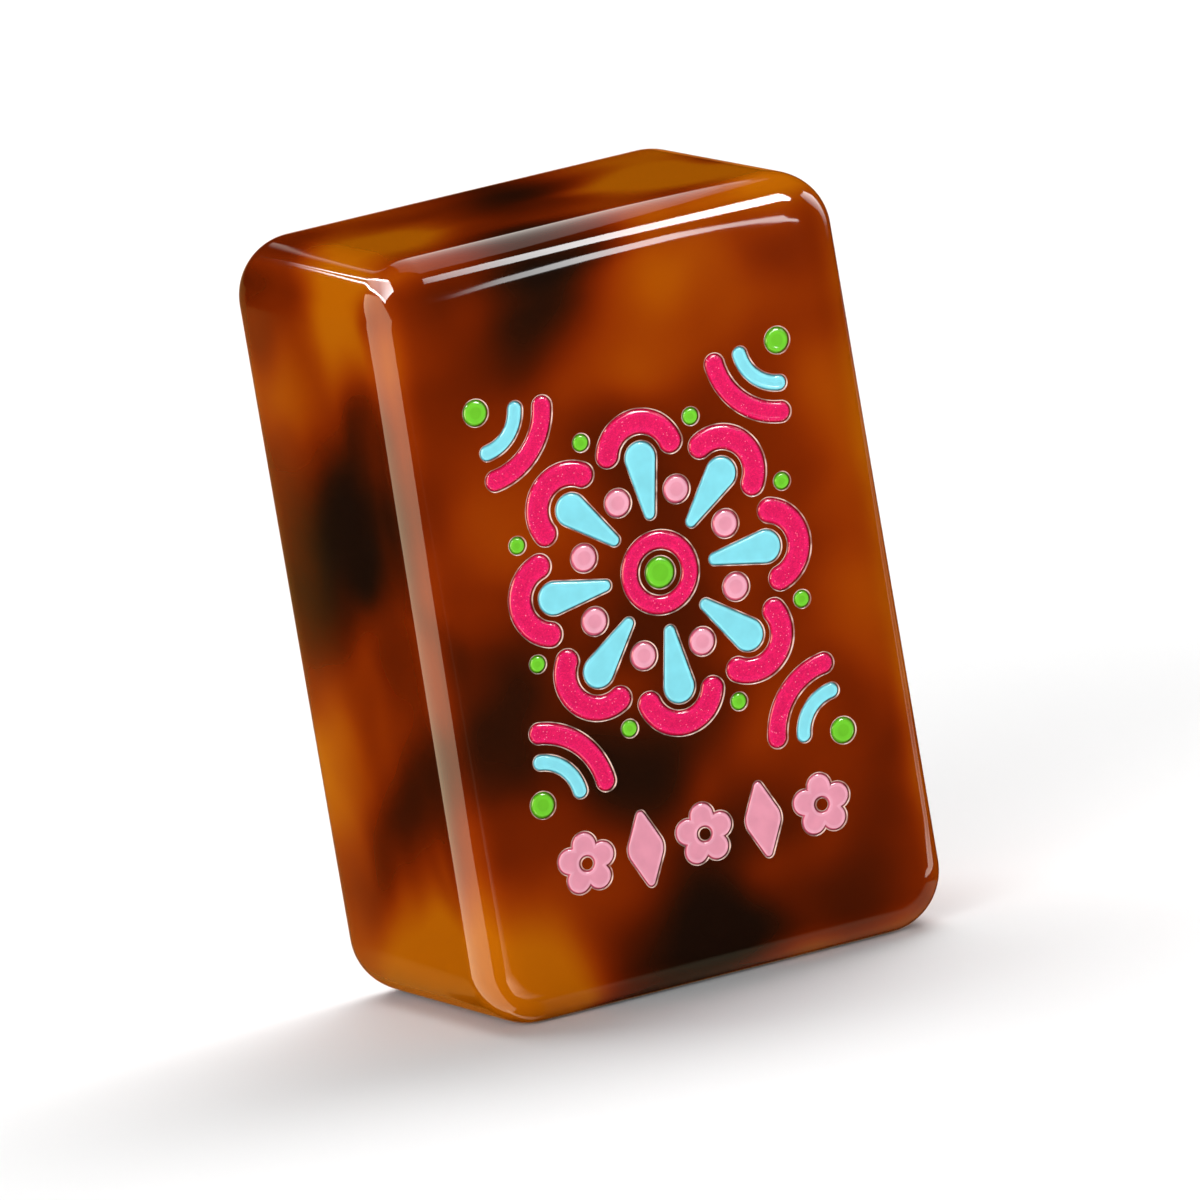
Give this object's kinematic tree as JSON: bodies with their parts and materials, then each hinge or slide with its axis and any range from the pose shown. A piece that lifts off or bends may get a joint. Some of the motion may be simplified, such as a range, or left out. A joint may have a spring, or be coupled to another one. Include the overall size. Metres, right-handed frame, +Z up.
{
  "type": "mahjong tile",
  "caption": "Upright mahjong tile: a rounded tortoiseshell block with an enamel-filled rosette, corner motifs and a row of small motifs engraved in its front face.",
  "frame": {"origin": "middle of the short end that the tile stands on", "axes": "+Z up along the tile's height, -Y out of the engraved front face, +X to the right as the front is seen"},
  "size_m": [0.0198, 0.0144, 0.03],
  "materials": {
    "tortoiseshell": "cast tortoiseshell acrylic, polished to a high gloss",
    "enamel_pink": "hot pink enamel with fine glitter, glossy",
    "enamel_pale_pink": "pale pink enamel, glossy",
    "enamel_blue": "sky blue enamel, glossy",
    "enamel_green": "lime green enamel, glossy"
  },
  "bodies": {
    "root": {"tile_body": "tortoiseshell", "core_dot": "enamel_green", "core_ring": "enamel_pink", "bead_1": "enamel_pale_pink", "petal_1": "enamel_blue", "arch_1": "enamel_pink", "dot_1": "enamel_green", "bead_2": "enamel_pale_pink", "petal_2": "enamel_blue", "arch_2": "enamel_pink", "dot_2": "enamel_green", "bead_3": "enamel_pale_pink", "petal_3": "enamel_blue", "arch_3": "enamel_pink", "dot_3": "enamel_green", "bead_4": "enamel_pale_pink", "petal_4": "enamel_blue", "arch_4": "enamel_pink", "dot_4": "enamel_green", "bead_5": "enamel_pale_pink", "petal_5": "enamel_blue", "arch_5": "enamel_pink", "dot_5": "enamel_green", "bead_6": "enamel_pale_pink", "petal_6": "enamel_blue", "arch_6": "enamel_pink", "dot_6": "enamel_green", "bead_7": "enamel_pale_pink", "petal_7": "enamel_blue", "arch_7": "enamel_pink", "dot_7": "enamel_green", "bead_8": "enamel_pale_pink", "petal_8": "enamel_blue", "arch_8": "enamel_pink", "dot_8": "enamel_green", "corner_dot_1": "enamel_green", "corner_line_1": "enamel_blue", "corner_bow_1": "enamel_pink", "corner_dot_2": "enamel_green", "corner_line_2": "enamel_blue", "corner_bow_2": "enamel_pink", "corner_dot_3": "enamel_green", "corner_line_3": "enamel_blue", "corner_bow_3": "enamel_pink", "corner_dot_4": "enamel_green", "corner_line_4": "enamel_blue", "corner_bow_4": "enamel_pink", "blossom_1": "enamel_pale_pink", "blossom_3": "enamel_pale_pink", "blossom_5": "enamel_pale_pink", "spindle_2": "enamel_pale_pink", "spindle_4": "enamel_pale_pink"}
  },
  "joints": []
}
